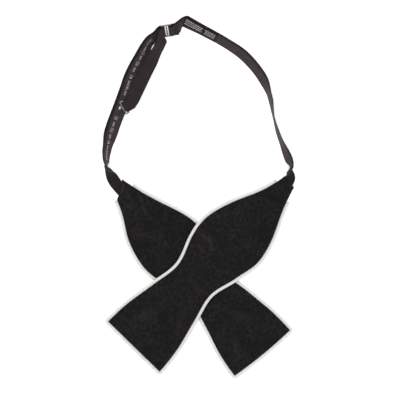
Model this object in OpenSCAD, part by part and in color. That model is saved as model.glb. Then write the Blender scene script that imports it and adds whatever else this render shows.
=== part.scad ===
// Self-tie bow tie lying untied: two piped blades that cross, an adjustable neck band, a joining slide and a hook.
// Frame: +Z up from the surface it lies on, +Y towards the slide, origin under the middle of the whole tie.

/* [Blades] */
// Length of the upper blade from its neck to its end
over_len = 200.5; // [195:0.5:206]
// Length of the lower blade from its neck to its end
under_len = 198; // [194:0.5:204]
// Half width at the widest place of the bulb
bulb_half = 30.7; // [29:0.1:33]
// Half width at the waist between bulb and end
waist_half = 19.7; // [18:0.1:22]
// Half width at the end
end_half = 32.2; // [31:0.1:34]
// Thickness of the face cloth and of the lining cloth
cloth_t = 0.45; // [0.35:0.05:0.5]
// Thickness of the woollen interlining
interlining_t = 1.1; // [1:0.05:1.3]

/* [Piping] */
// Outside diameter of the satin piping
piping_d = 3; // [2.6:0.1:3]
// Thickness of the satin cover of the piping
cover_t = 0.4; // [0.3:0.05:0.5]

/* [Band] */
// Width of the neck band ribbon
band_w = 12.1; // [12:0.1:12.7]
// Width of the ribbon where it is gathered into the slide
slide_fit_w = 11.3; // [11:0.1:12]
// Width of the ribbon where it is gathered into the hook
hook_fit_w = 9.6; // [9:0.1:10]
// Thickness of the ribbon
band_t = 0.65; // [0.5:0.05:0.7]

/* [Hardware] */
// Wire diameter of the slide
slide_wire = 1.4; // [1.2:0.1:1.4]
// Distance between neighbouring bars of the slide
bar_pitch = 4.2; // [4.1:0.1:5]
// Clear length of the slide's bars
slide_inner = 12.2; // [11.9:0.1:14]
// Wire diameter of the size hook
hook_wire = 1.2; // [1:0.1:1.2]
// Clear length of the hook's bars
hook_inner = 10.6; // [10.4:0.1:11]

/* [Hidden] */

black_cloth = [0.10, 0.10, 0.11];
ribbon_cloth = [0.17, 0.15, 0.16];
wool = [0.62, 0.60, 0.55];
satin = [0.90, 0.88, 0.83];
steel = [0.72, 0.72, 0.74];
thread = [0.45, 0.43, 0.42];

// where each blade starts at its neck, and the way it points
over_ref = [79, 10.4];
over_dir = [-sin(43.2), -cos(43.2)];
under_ref = [-72.1, 7.3];
under_dir = [sin(41.6), -cos(41.6)];
// how far the end's edge runs out of square, from the axis to each corner
over_skew = 0.6;
under_skew = 1.2;
// where the cloth starts at its neck, over the ribbon's end, on the positive side and on the other
over_neck = [-4, -4];
under_neck = [-4, 7];
// the lower blade's end bows out this far between its corners
under_bow = 1.2;
// half widths along a blade: neck, bulb, waist and end
profile = [
    [-20, 6.6], [-4, 6.7], [2, 8], [18, 12.9], [47, 25.5], [70, bulb_half], [91, 27.4],
    [119, waist_half], [148, 24.9], [178, end_half - 1.4], [210, end_half + 0.3]
];
// how far each blade's middle line bends sideways out of its axis as it lies
over_sway = [
    [-20, 0.3], [12, 1], [44, 0.4], [66, -0.7], [86, -2.1], [104, -1.7], [136, -0.8], [168, -0.1], [210, 0.3]
];
under_sway = [
    [-20, 1.4], [10, 1.3], [24, 0.5], [40, -0.8], [66, 0.4], [104, 0.9], [144, 0.7], [168, -0.5],
    [192, -1.4], [215, -1.8]
];
over = [over_ref, over_dir, over_sway];
under = [under_ref, under_dir, under_sway];
// height of the upper blade's underside as it lies over the lower one
drape = [[-20, 0.8], [14, 0.8], [42, 1.6], [77, 3.4], [119, 3.6], [161, 3.4], [189, 1.1], [210, 0.1]];
// cloth layers bend only at places this far apart along the blade, so that they stay flat on each other
bend_step = 7;
blade_t = 2 * cloth_t + interlining_t;
piping_r = piping_d / 2;
// the cloth stops just short of the piping
piping_off = piping_r + 0.1;

// the slide leans, with the outer ends of its bars raised
slide_at = [-28.1, 149.8, 6.1];
slide_yaw = 9;
slide_lean = 50;
slide_x = [cos(slide_yaw), sin(slide_yaw), 0];
slide_y = [-sin(slide_yaw) * cos(slide_lean), cos(slide_yaw) * cos(slide_lean), sin(slide_lean)];
slide_z = cross(slide_x, slide_y);
// the ribbon's loops are this much longer than the bar needs, so that the slide can swing
loop_slack = 0.8;
loop_r = 1.7;
// the ribbon is this much narrower each side where it turns face up into a blade's neck
neck_gather = 0.9;

// the hook lies flat at the end of the band's tail
hook_at = [-65.4, 81.2, 4.4];
hook_turn = 209;
hook_x = [cos(hook_turn), sin(hook_turn), 0];
hook_y = [sin(hook_turn), -cos(hook_turn), 0];
hook_z = [0, 0, 1];
hook_loop_r = hook_wire / 2 + 0.3 + band_t / 2;
hook_front = 2.7;
prong_x = 3.6;

// routes of the ribbon: x, y, height of its lower edge, how far its outer edge is turned up, and how far that edge
// leans along the route where the ribbon turns over
left_neck = [blade_xy(under, [10, 0]), blade_xy(under, [-6.5, 0])];
left_route = [
    [left_neck[0].x, left_neck[0].y, 0.675, 180, 0], [left_neck[1].x, left_neck[1].y, 0.675, 180, 0],
    [-81.3, 25.5, 0.5, 118, -28], [-82, 29.5, 0.4, 72, -20], [-82.9, 35, 0.3, 64, 0],
    [-82, 44, 0.4, 52, 0], [-77.7, 62, 1.4, 6, 0], [-71.3, 79, 1.9, 2, 0], [-64.8, 97, 1.4, 5, 0],
    [-59.5, 111.5, 0.8, 12, 0], [-50.5, 128.6, 0.4, 27, 0], [-44.7, 139.5, 0.3, 46, 0],
    [-38.4, 144.6, 0.25, 48, 0]
];
tail_route = [
    [-32.7, 141.3, 1.6, 42, 0], [-36.6, 132.6, 1.7, 46, 0], [-45.3, 117, 2.2, 12, 0],
    [-53.2, 101, 2.6, 6, 0], [-58.8, 89, 3.9, 2, 0]
];
right_neck = [blade_xy(over, [-6, 0]) + [-1.2, 0.9], blade_xy(over, [6, 0])];
right_route = [
    [-11.2, 158.3, 1.8, 36, 0], [5.6, 149.6, 0.6, 47, 0], [24.1, 139.4, 0.4, 50, 0], [42, 127, 0.4, 46, 0],
    [57.5, 108.5, 0.4, 50, 0], [65, 90, 0.4, 74, 0], [68.5, 71, 0.4, 87, 0], [73.5, 54, 0.4, 78, 0],
    [81.5, 35, 0.4, 58, 0], [83.2, 28, 0.4, 66, 20], [82.4, 23.4, 0.5, 112, 38],
    [right_neck[0].x, right_neck[0].y, 1.45, 180, 0], [right_neck[1].x, right_neck[1].y, 1.45, 180, 0]
];

// sizes along the band are an inch apart on the ribbon, with a dash between each two
steps = 5;
hook_slot_size = [3.2, 1.8];
size_slot = [4, 0.5];
mark_t = 0.12;
mark_w = 1;
label_t = 0.3;
label_w = 8.6;
// the label stands this far off the band that it is sewn to
label_gap = 0.25;
stitch_d = 0.36;

// ---------- curves ----------

// slope of a table of [place, value] pairs at entry i
function slope(p, i) = i <= 0 || i >= len(p) - 1 ? 0 : (p[i + 1][1] - p[i - 1][1]) / (p[i + 1][0] - p[i - 1][0]);

function hermite(a, b, ma, mb, h, t) =
    (2 * t ^ 3 - 3 * t ^ 2 + 1) * a + (t ^ 3 - 2 * t ^ 2 + t) * h * ma
    + (3 * t ^ 2 - 2 * t ^ 3) * b + (t ^ 3 - t ^ 2) * h * mb;

// smooth value of a table at place s
function value_at(p, s) =
    let (i = max([for (k = [0:len(p) - 2]) if (p[k][0] <= s) k]), h = p[i + 1][0] - p[i][0])
    hermite(p[i][1], p[i + 1][1], slope(p, i), slope(p, i + 1), h, (s - p[i][0]) / h);

// point at t between b and c on a smooth curve through a, b, c and d
function curve(a, b, c, d, t) =
    0.5 * (2 * b + (c - a) * t + (2 * a - 5 * b + 4 * c - d) * t ^ 2 + (3 * b - a - 3 * c + d) * t ^ 3);

function ease(t) = t * t * (3 - 2 * t);

// a route refined to n steps between its points: the plan is a smooth curve, height and turn ease from point to point
function refine(p, n) = [
    for (i = [0:len(p) - 2])
        for (k = [0:n - 1])
            let (
                t = k / n,
                q = curve(p[max(i - 1, 0)], p[i], p[i + 1], p[min(i + 2, len(p) - 1)], t),
                e = p[i] + (p[i + 1] - p[i]) * ease(t)
            )
            [q[0], q[1], e[2], e[3], e[4]],
    p[len(p) - 1]
];

function unit(v) = v / norm(v);

// ---------- ribbons ----------

// A frame on a ribbon is [centre, width direction, normal of the reverse side, half width].
// Travelling clockwise round the neck loop, side is 1 and the outer edge is on the left; side is -1 the other way.
function route_frame(q, i, half, side) =
    let (
        a = q[max(i - 1, 0)],
        b = q[min(i + 1, len(q) - 1)],
        along = unit([b[0] - a[0], b[1] - a[1], 0]),
        out = side * [-along.y, along.x, 0],
        turn = q[i][3],
        lean = q[i][4],
        w = half - neck_gather * max(0, -cos(turn)),
        width = cos(turn) * out + sin(turn) * (sin(lean) * along + [0, 0, cos(lean)]),
        z = q[i][2] + w * abs(sin(turn)) * cos(lean) + band_t / 2
    )
    [[q[i][0], q[i][1], z], width, unit(cross(along, width)), w];

function route_frames(q, half, side = 1) = [for (i = [0:len(q) - 1]) route_frame(q, i, half, side)];

// frames round a bar: an arc about [cx, 0] in the plane of x and z of a local frame
function arc_frames(at, x, y, z, cx, r, from, to, half) = [
    for (k = [0:6])
        let (a = from + (to - from) * k / 6, radial = cos(a) * x + sin(a) * z)
        [at + cx * x + r * radial, y, -radial, half]
];

function ring(f, half, t, off) = [
    f[0] + f[1] * half + f[2] * (off - t / 2),
    f[0] - f[1] * half + f[2] * (off - t / 2),
    f[0] - f[1] * half + f[2] * (off + t / 2),
    f[0] + f[1] * half + f[2] * (off + t / 2)
];

// closed solid through a list of rings with the same number of points
module loft(rings) {
    n = len(rings[0]);
    m = len(rings);
    points = [for (r = rings) for (p = r) p];
    sides = [
        for (i = [0:m - 2])
            for (k = [0:n - 1])
                let (a = i * n + k, b = i * n + (k + 1) % n)
                each [[a, b, b + n], [a, b + n, a + n]]
    ];
    first = [for (k = [n - 1:-1:0]) k];
    last = [for (k = [0:n - 1]) (m - 1) * n + k];
    polyhedron(points, concat([first], sides, [last]), convexity = 10);
}

module ribbon(frames, t = band_t, off = 0, half = 0) {
    loft([for (f = frames) ring(f, half > 0 ? half : f[3], t, off)]);
}

// puts children on a ribbon: x along it, y to its outer edge, z out of its reverse side
module on_ribbon(f) {
    x = cross(f[1], f[2]);
    multmatrix([
        [x.x, f[1].x, f[2].x, f[0].x],
        [x.y, f[1].y, f[2].y, f[0].y],
        [x.z, f[1].z, f[2].z, f[0].z],
        [0, 0, 0, 1]
    ]) children();
}

// ---------- the band's two halves ----------

left_run = refine(left_route, steps);
tail_run = refine(tail_route, steps);
right_run = refine(right_route, steps);
half_w = band_w / 2;
slide_half = slide_fit_w / 2;
hook_half = hook_fit_w / 2;

left_frames = route_frames(left_run, half_w);
tail_frames = route_frames(tail_run, half_w, -1);
right_frames = route_frames(right_run, half_w);

fold_frames = arc_frames(
    slide_at, slide_x, slide_y, slide_z, -bar_pitch + loop_slack, loop_r, -90, 90, slide_half
);
slide_loop_frames = arc_frames(
    slide_at, slide_x, slide_y, slide_z, bar_pitch - loop_slack, loop_r, 90, 270, slide_half
);
hook_loop_frames = arc_frames(hook_at, hook_x, hook_y, hook_z, 0, hook_loop_r, 90, -90, hook_half);

// a frame beside the slide: x away from the middle bar, y along the bar, z out of its plane; it may lie flatter than
// the slide, or be turned in its plane
function slide_frame(x, z, up, y = 0, flatter = 0, turn = 0) =
    let (
        wide = cos(flatter) * slide_y - sin(flatter) * slide_z,
        out = cos(flatter) * slide_z + sin(flatter) * slide_y
    )
    [slide_at + x * slide_x + y * wide + z * out, cos(turn) * wide - sin(turn) * slide_x, up * out, slide_half];
function hook_frame(x, z, up) = [hook_at + x * hook_x + z * hook_z, hook_y, up * hook_z, hook_half];

// layers of the two stitched ends lie this far either side of the middle
lap = band_t / 2 + 0.03;
end_x = 10.2;
lap_flat = 20;
// the right band leaves the lap this much higher than it enters it
lap_rise = 1.5;
// the legs of the loops stay parallel this far past the bar
leg = 1.4;

// one ribbon: blade neck, neck band, round the slide's bar, back over itself, round the hook's bar, stitched end
left_ribbon = concat(
    left_frames,
    [slide_frame(-bar_pitch - leg, -loop_r, 1)],
    fold_frames,
    [slide_frame(-bar_pitch - 0.4, loop_r + 0.7, -1, -1, 0, 18)],
    tail_frames,
    [hook_frame(-4.5, lap, -1), hook_frame(-1.5, hook_loop_r, -1)],
    hook_loop_frames,
    [hook_frame(-1.5, -hook_loop_r, 1), hook_frame(-4.5, -lap, 1), hook_frame(-7.5, -lap, 1)]
);

// the right band's lap: its two layers come together halfway and lie flatter towards the end
function lap_frame(t, layer, rise = 0) =
    let (x = bar_pitch + leg, z = lap + (loop_r - lap) * (1 - ease(min(1, 2 * t))))
    slide_frame(x + (end_x - x) * t, layer * z, -layer, rise * t, lap_flat * t);

right_ribbon = concat(
    [for (k = [6:-1:0]) lap_frame(k / 6, 1)],
    slide_loop_frames,
    [for (k = [0:6]) lap_frame(k / 6, -1, lap_rise)],
    right_frames
);

// ---------- blades ----------

function across(dir) = [-dir.y, dir.x];

// place on the table of a point p = [place along the blade, distance from its middle line]
function blade_xy(blade, p) = blade[0] + p[0] * blade[1] + (p[1] + value_at(blade[2], p[0])) * across(blade[1]);

// one side of the outline, as [place along the axis, distance from it]
function edge(s0, length, skew, side, inset) =
    let (inner = [for (k = [-5:40]) if (k * bend_step > s0 + 1 && k * bend_step < length - 4) k * bend_step])
    [for (s = concat([s0], inner, [length + side * skew - inset])) [s, side * (value_at(profile, s) - inset)]];

// the whole outline of a cloth layer
function outline(neck, length, skew, bow, inset) =
    let (back = edge(neck[1], length, skew, -1, inset))
    concat(
        edge(neck[0], length, skew, 1, inset),
        [for (q = [0.5, 0, -0.5]) [length + skew * q + bow * (1 - q ^ 2) - inset, q * (end_half - inset)]],
        [for (k = [len(back) - 1:-1:0]) back[k]]
    );

module flat_layer(neck, inset, z, t) {
    shape = outline(neck, under_len, under_skew, under_bow, inset);
    translate([0, 0, z]) linear_extrude(t) polygon([for (p = shape) blade_xy(under, p)]);
}

// height of the upper blade's underside, straight from one bend to the next
function drape_at(s) =
    let (k = floor(s / bend_step), a = value_at(drape, k * bend_step), b = value_at(drape, (k + 1) * bend_step))
    a + (b - a) * (s / bend_step - k);

function draped(p, z) = let (q = blade_xy(over, p)) [q.x, q.y, drape_at(p[0]) + z];

module draped_layer(neck, inset, z, t) {
    right = edge(neck[0], over_len, over_skew, 1, inset);
    left = edge(neck[1], over_len, over_skew, -1, inset);
    loft([
        for (k = [0:len(left) - 1])
            [draped(left[k], z + t), draped(right[k], z + t), draped(right[k], z), draped(left[k], z)]
    ]);
}

// ---------- piping ----------

// a point on the piping's centre line beside the cloth's edge
function beside(s, side) =
    let (w = value_at(profile, s), d = value_at(profile, s + 0.5) - value_at(profile, s - 0.5), n = unit([-d, 1]))
    [s + n[0] * piping_off, side * (w + n[1] * piping_off)];

// quarter turn of the piping round a corner of the cloth
function corner(s, side) =
    let (c = [s, side * value_at(profile, s)])
    [for (a = side > 0 ? [80, 45, 10] : [-10, -45, -80]) c + piping_off * [cos(a), sin(a)]];

function piping_path(s_plus, s_minus, s1, skew, bow) = concat(
    [for (k = [0:24]) beside(s_plus + (s1 + skew - 1.5 - s_plus) * k / 24, 1)],
    corner(s1 + skew, 1),
    [for (q = [0.5, 0, -0.5]) [s1 + skew * q + bow * (1 - q ^ 2) + piping_off, end_half * q]],
    corner(s1 - skew, -1),
    [for (k = [24:-1:0]) beside(s_minus + (s1 - skew - 1.5 - s_minus) * k / 24, -1)]
);

under_piping = [
    for (p = piping_path(7, 7, under_len, under_skew, under_bow))
        let (q = blade_xy(under, p)) [q.x, q.y, piping_r]
];
over_piping = [for (p = piping_path(10, 3, over_len, over_skew, 0)) draped(p, piping_r)];

function tube_ring(path, i, r, n) =
    let (
        a = path[max(i - 1, 0)],
        b = path[min(i + 1, len(path) - 1)],
        t = unit(b - a),
        h = unit(cross([0, 0, 1], t)),
        v = cross(t, h)
    )
    [for (k = [0:n - 1]) path[i] + r * (cos(-360 * k / n) * h + sin(-360 * k / n) * v)];

module tube(path, r, n = 10) {
    loft([for (i = [0:len(path) - 1]) tube_ring(path, i, r, n)]);
}

// open-ended hollow tube along a path
module hollow_tube(path, r_out, r_in, n = 10) {
    m = len(path);
    points = [for (i = [0:m - 1]) each concat(tube_ring(path, i, r_out, n), tube_ring(path, i, r_in, n))];
    walls = [
        for (i = [0:m - 2])
            for (k = [0:n - 1])
                let (a = 2 * n * i + k, b = 2 * n * i + (k + 1) % n, next = 2 * n)
                each [
                    [a, b, b + next], [a, b + next, a + next],
                    [a + n, b + n + next, b + n], [a + n, a + n + next, b + n + next]
                ]
    ];
    ends = [
        for (k = [0:n - 1])
            let (b = (k + 1) % n, last = 2 * n * (m - 1))
            each [
                [b, k, k + n], [b, k + n, b + n],
                [last + k, last + b, last + b + n], [last + k, last + b + n, last + k + n]
            ]
    ];
    polyhedron(points, concat(walls, ends), convexity = 10);
}

// ---------- stitches ----------

// a thread lying across a ribbon frame, half sunk into its surface
module stitch(len, x = 0, y = 0, z = 0, turn = 0) {
    translate([x, y, z]) rotate([0, 90, turn]) cylinder(d = stitch_d, h = len, center = true, $fn = 16);
}

// bar tack: a row of short threads side by side across a neck, square to the blade or along a slanting edge
module neck_tack(blade, s, slope, z) {
    at = blade_xy(blade, [s, 0]);
    translate([at.x, at.y, z + blade_t]) rotate([0, 0, atan2(blade[1].y, blade[1].x)])
        for (k = [-4:4]) stitch(2.4, -slope * k * 1.1, k * 1.1);
}

// ---------- sub-parts ----------

module under_blade_face() {
    color(black_cloth) flat_layer(under_neck, 0, cloth_t + interlining_t, cloth_t);
}

module under_blade_interlining() {
    color(wool) flat_layer([12, 12], 1.5, cloth_t, interlining_t);
}

module under_blade_lining() {
    color(black_cloth) flat_layer(under_neck, 0, 0, cloth_t);
}

module under_piping_cover() {
    color(satin) hollow_tube(under_piping, piping_r, piping_r - cover_t);
}

module under_piping_cord() {
    color(wool) tube(under_piping, piping_r - cover_t - 0.05);
}

module under_neck_tack() {
    color(black_cloth) neck_tack(under, 3.5, 0.8, 0);
}

module over_blade_face() {
    color(black_cloth) draped_layer(over_neck, 0, cloth_t + interlining_t, cloth_t);
}

module over_blade_interlining() {
    color(wool) draped_layer([8, 8], 1.5, cloth_t, interlining_t);
}

module over_blade_lining() {
    color(black_cloth) draped_layer(over_neck, 0, 0, cloth_t);
}

module over_piping_cover() {
    color(satin) hollow_tube(over_piping, piping_r, piping_r - cover_t);
}

module over_piping_cord() {
    color(wool) tube(over_piping, piping_r - cover_t - 0.05);
}

module over_neck_tack() {
    color(black_cloth) neck_tack(over, -2, 0, drape_at(-2));
}

// places along the left band, as frame numbers, where a size slot is cut
slot_frames = [28, 31, 39, 42, 46, 49, 52];

module left_band() {
    color(ribbon_cloth) difference() {
        ribbon(left_ribbon);
        hook_slot();
        for (i = slot_frames) on_ribbon(left_frames[i]) slot(size_slot);
    }
}

module slot(size) {
    cube([size.x, size.y, 3], center = true);
}

// slot that the hook's prong goes through
module hook_slot() {
    translate(hook_at + prong_x * hook_x - 2.5 * hook_z) rotate([0, 0, hook_turn]) slot(hook_slot_size);
}

// places along the left band, as frame numbers, where a woven dash begins
mark_frames = [19, 21, 23, 25, 29, 32, 40, 44, 47, 50, 54];

// woven dashes on the band's reverse, between the slots
module size_marks() {
    color(satin) for (i = mark_frames)
        ribbon([left_frames[i], left_frames[i + 1]], mark_t, band_t / 2 + mark_t / 2 + 0.01, mark_w / 2);
}

module tail_stitching() {
    color(thread) on_ribbon(hook_frame(-5.5, lap, -1)) for (k = [-3:3])
        stitch(1.8, 0, k * 1.25, -band_t / 2);
}

module loop_stitching() {
    color(thread) for (t = [4 / 6, 5 / 6]) on_ribbon(lap_frame(t, 1)) for (k = [-3:3])
        stitch(1.3, 0, k * 1.5, -band_t / 2, 90);
}

label_frames = [for (i = [1:8]) right_frames[i]];

module woven_label() {
    color(thread) ribbon(label_frames, label_t, band_t / 2 + label_gap + label_t / 2, label_w / 2);
}

module label_stitching() {
    color(thread) for (i = [0, len(label_frames) - 1]) on_ribbon(label_frames[i]) for (k = [-2:2])
        stitch(1.4, i == 0 ? 0.8 : -0.8, k * 1.7, band_t / 2 + label_gap + label_t, 90);
}

// a bar between two points of a plane, with round ends
module wire(a, b, d) {
    across = b - a;
    translate([a.x, a.y, 0]) rotate([0, 90, atan2(across.y, across.x)]) cylinder(d = d, h = norm(across), $fn = 32);
    for (p = [a, b]) translate([p.x, p.y, 0]) sphere(d = d, $fn = 32);
}

module joining_slide() {
    rail_y = (slide_inner + slide_wire) / 2;
    color(steel) translate(slide_at) rotate([0, 0, slide_yaw]) rotate([slide_lean, 0, 0]) {
        for (x = [-bar_pitch, 0, bar_pitch]) wire([x, -rail_y], [x, rail_y], slide_wire);
        for (y = [-rail_y, rail_y]) wire([-bar_pitch, y], [bar_pitch, y], slide_wire);
    }
}

module size_hook() {
    rail_y = (hook_inner + hook_wire) / 2;
    prong_drop = 3.4;
    color(steel) translate(hook_at) rotate([0, 0, hook_turn]) {
        for (x = [0, hook_front]) wire([x, -rail_y], [x, rail_y], hook_wire);
        for (y = [-rail_y, rail_y]) wire([0, y], [hook_front, y], hook_wire);
        wire([hook_front, 0], [prong_x, 0], hook_wire);
        translate([prong_x, 0, -prong_drop]) cylinder(d = hook_wire, h = prong_drop, $fn = 32);
        translate([0, 0, -prong_drop]) wire([prong_x, 0], [prong_x - 1, 0], hook_wire);
    }
}

module right_band() {
    color(ribbon_cloth) ribbon(right_ribbon);
}

under_blade_face();
under_blade_interlining();
under_blade_lining();
under_piping_cover();
under_piping_cord();
under_neck_tack();
left_band();
size_marks();
tail_stitching();
size_hook();
joining_slide();
right_band();
loop_stitching();
woven_label();
label_stitching();
over_blade_face();
over_blade_interlining();
over_blade_lining();
over_piping_cover();
over_piping_cord();
over_neck_tack();
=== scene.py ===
"""Looks of a self-tie bow tie around its CAD frame: woven blades, satin piping, ribbon band and wire hardware.

All lengths are in metres. Places along a blade run from its neck to its end, and places along a band run the way
the ribbon was threaded, as in the CAD source.
"""

import math

import bpy
import numpy as np
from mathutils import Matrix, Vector, noise


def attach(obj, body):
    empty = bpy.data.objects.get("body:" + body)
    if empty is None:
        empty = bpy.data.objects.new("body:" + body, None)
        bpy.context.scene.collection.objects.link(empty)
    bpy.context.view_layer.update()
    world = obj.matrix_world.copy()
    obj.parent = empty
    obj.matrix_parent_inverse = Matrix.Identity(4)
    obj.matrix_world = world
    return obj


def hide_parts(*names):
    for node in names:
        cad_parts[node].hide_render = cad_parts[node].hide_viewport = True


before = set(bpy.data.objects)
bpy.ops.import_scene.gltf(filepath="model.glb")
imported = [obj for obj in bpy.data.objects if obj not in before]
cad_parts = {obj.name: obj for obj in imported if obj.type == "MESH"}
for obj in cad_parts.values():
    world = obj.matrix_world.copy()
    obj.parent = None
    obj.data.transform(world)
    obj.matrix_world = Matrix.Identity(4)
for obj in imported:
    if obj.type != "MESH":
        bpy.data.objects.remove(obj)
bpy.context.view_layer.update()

LEFT, RIGHT = "left_half", "right_half"
MM = 0.001

# ---------- sizes shared with the CAD source ----------

OVER_LENGTH, UNDER_LENGTH = 0.2005, 0.198
OVER_SKEW, UNDER_SKEW, UNDER_BOW = 0.0006, 0.0012, 0.0012
# where each cloth starts at its neck, on the positive side and on the other
OVER_NECK, UNDER_NECK = (-0.004, -0.004), (-0.004, 0.007)
END_HALF = 0.0322
OVER_REF, OVER_TURN = np.array([0.079, 0.0104]), math.radians(43.2)
UNDER_REF, UNDER_TURN = np.array([-0.0721, 0.0073]), math.radians(41.6)
OVER_DIR = np.array([-math.sin(OVER_TURN), -math.cos(OVER_TURN)])
UNDER_DIR = np.array([math.sin(UNDER_TURN), -math.cos(UNDER_TURN)])
CLOTH_T = 0.00045
PIPING_R, PIPING_OFF = 0.0015, 0.0016

# half width of a blade at places along it, how far its middle line bends sideways, and the height of the upper
# blade's underside
PROFILE = [
    (-0.020, 0.0066), (-0.004, 0.0067), (0.002, 0.008), (0.018, 0.0129), (0.047, 0.0255), (0.070, 0.0307),
    (0.091, 0.0274), (0.119, 0.0197), (0.148, 0.0249), (0.178, END_HALF - 0.0014), (0.210, END_HALF + 0.0003),
]
OVER_SWAY = [
    (-0.020, 0.0003), (0.012, 0.001), (0.044, 0.0004), (0.066, -0.0007), (0.086, -0.0021), (0.104, -0.0017),
    (0.136, -0.0008), (0.168, -0.0001), (0.210, 0.0003),
]
UNDER_SWAY = [
    (-0.020, 0.0014), (0.010, 0.0013), (0.024, 0.0005), (0.040, -0.0008), (0.066, 0.0004), (0.104, 0.0009),
    (0.144, 0.0007), (0.168, -0.0005), (0.192, -0.0014), (0.215, -0.0018),
]
DRAPE = [
    (-0.020, 0.0008), (0.014, 0.0008), (0.042, 0.0016), (0.077, 0.0034), (0.119, 0.0036), (0.161, 0.0034),
    (0.189, 0.0011), (0.210, 0.0001),
]

BAND_W, BAND_T = 0.0121, 0.00065
SLIDE_HALF, HOOK_HALF = 0.00565, 0.0048
BAR_PITCH, LOOP_SLACK, LOOP_R, LEG = 0.0042, 0.0008, 0.0017, 0.0014
# the right band's lap beside the slide: its layers' distance from its middle, where it ends, how far its lower layer
# rises across the leaning ribbon, how much flatter than the slide it ends in degrees, and its number of steps
LAP, END_X, LAP_RISE, LAP_FLAT, LAP_STEPS = BAND_T / 2 + 0.00003, 0.0102, 0.0015, 20, 6
# where the left band's fold leaves the slide: past the bar, above the loop, sideways, and its turn in degrees
FOLD_PAST, FOLD_RISE, FOLD_SIDE, FOLD_TURN = 0.0004, 0.0007, -0.001, 18
LABEL_GAP = 0.00025
NECK_GATHER = 0.0009
STEPS = 5

SLIDE_AT = np.array([-0.0281, 0.1498, 0.0061])
SLIDE_YAW, SLIDE_LEAN = math.radians(9), math.radians(50)
SLIDE_X = np.array([math.cos(SLIDE_YAW), math.sin(SLIDE_YAW), 0])
SLIDE_Y = np.array([
    -math.sin(SLIDE_YAW) * math.cos(SLIDE_LEAN), math.cos(SLIDE_YAW) * math.cos(SLIDE_LEAN), math.sin(SLIDE_LEAN),
])
SLIDE_Z = np.cross(SLIDE_X, SLIDE_Y)
HOOK_AT = np.array([-0.0654, 0.0812, 0.0044])
HOOK_TURN = math.radians(209)
HOOK_X = np.array([math.cos(HOOK_TURN), math.sin(HOOK_TURN), 0])
HOOK_Y = np.array([math.sin(HOOK_TURN), -math.cos(HOOK_TURN), 0])
HOOK_Z = np.array([0.0, 0.0, 1.0])
HOOK_LOOP_R = 0.0009 + BAND_T / 2
PRONG_X = 0.0036

# numbers of the route's frames where the band has its size slots, plain dashes and size figures
SLOTS = (28, 31, 39, 42, 46, 49, 52)
DASHES = (21, 25.2, 54)
FIGURES = ((19.4, "17"), (23.3, "16½"), (26.6, "16"), (29.5, "15½"), (32.7, "15"), (40.5, "14½"),
           (44, "14"), (47.5, "13½"), (50.5, "13"), (56, "12½"))
LABEL = (1, 8)


# ---------- curves ----------

def unit(v):
    v = np.asarray(v, float)
    return v / np.linalg.norm(v, axis=-1, keepdims=True)


def ease(t):
    return t * t * (3 - 2 * t)


def hermite(a, b, ma, mb, h, t):
    return ((2 * t**3 - 3 * t**2 + 1) * a + (t**3 - 2 * t**2 + t) * h * ma
            + (3 * t**2 - 2 * t**3) * b + (t**3 - t**2) * h * mb)


def value_at(table, s):
    """Smooth value of a table of (place, value) pairs at each place in s."""
    p = np.array(table)
    slope = np.zeros(len(p))
    slope[1:-1] = (p[2:, 1] - p[:-2, 1]) / (p[2:, 0] - p[:-2, 0])
    i = np.clip(np.searchsorted(p[:, 0], s, side="right") - 1, 0, len(p) - 2)
    h = p[i + 1, 0] - p[i, 0]
    return hermite(p[i, 1], p[i + 1, 1], slope[i], slope[i + 1], h, (s - p[i, 0]) / h)


def refine(route):
    """A route with STEPS steps between its points: the plan is a smooth curve, height and turn ease along it."""
    p = np.array(route)
    rows = []
    for i in range(len(p) - 1):
        a, b, c, d = p[max(i - 1, 0)], p[i], p[i + 1], p[min(i + 2, len(p) - 1)]
        for k in range(STEPS):
            t = k / STEPS
            q = 0.5 * (2 * b + (c - a) * t + (2 * a - 5 * b + 4 * c - d) * t**2 + (3 * b - a - 3 * c + d) * t**3)
            e = b + (c - b) * ease(t)
            rows.append((q[0], q[1], e[2], e[3], e[4]))
    return np.array([*rows, p[-1]])


# ---------- routes of the ribbon ----------

def blade_xy(ref, direction, sway, s, lat):
    """Places in plan of points at s along a blade and lat from its middle line."""
    across = np.array([-direction[1], direction[0]])
    s, lat = np.asarray(s, float), np.asarray(lat, float)
    return ref + s[..., None] * direction + (lat + value_at(sway, s))[..., None] * across


# x, y, height of the lower edge, how far the outer edge is turned up, and how far that edge leans along the route
# where the ribbon turns over, in degrees
NECK_L = blade_xy(UNDER_REF, UNDER_DIR, UNDER_SWAY, [0.010, -0.0065], [0, 0])
NECK_R = blade_xy(OVER_REF, OVER_DIR, OVER_SWAY, [-0.006, 0.006], [0, 0]) + [[-0.0012, 0.0009], [0, 0]]
LEFT_ROUTE = [
    (*NECK_L[0], 0.000675, 180, 0), (*NECK_L[1], 0.000675, 180, 0), (-0.0813, 0.0255, 0.0005, 118, -28),
    (-0.082, 0.0295, 0.0004, 72, -20), (-0.0829, 0.035, 0.0003, 64, 0), (-0.082, 0.044, 0.0004, 52, 0),
    (-0.0777, 0.062, 0.0014, 6, 0), (-0.0713, 0.079, 0.0019, 2, 0), (-0.0648, 0.097, 0.0014, 5, 0),
    (-0.0595, 0.1115, 0.0008, 12, 0), (-0.0505, 0.1286, 0.0004, 27, 0), (-0.0447, 0.1395, 0.0003, 46, 0),
    (-0.0384, 0.1446, 0.00025, 48, 0),
]
TAIL_ROUTE = [
    (-0.0327, 0.1413, 0.0016, 42, 0), (-0.0366, 0.1326, 0.0017, 46, 0), (-0.0453, 0.117, 0.0022, 12, 0),
    (-0.0532, 0.101, 0.0026, 6, 0), (-0.0588, 0.089, 0.0039, 2, 0),
]
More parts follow.
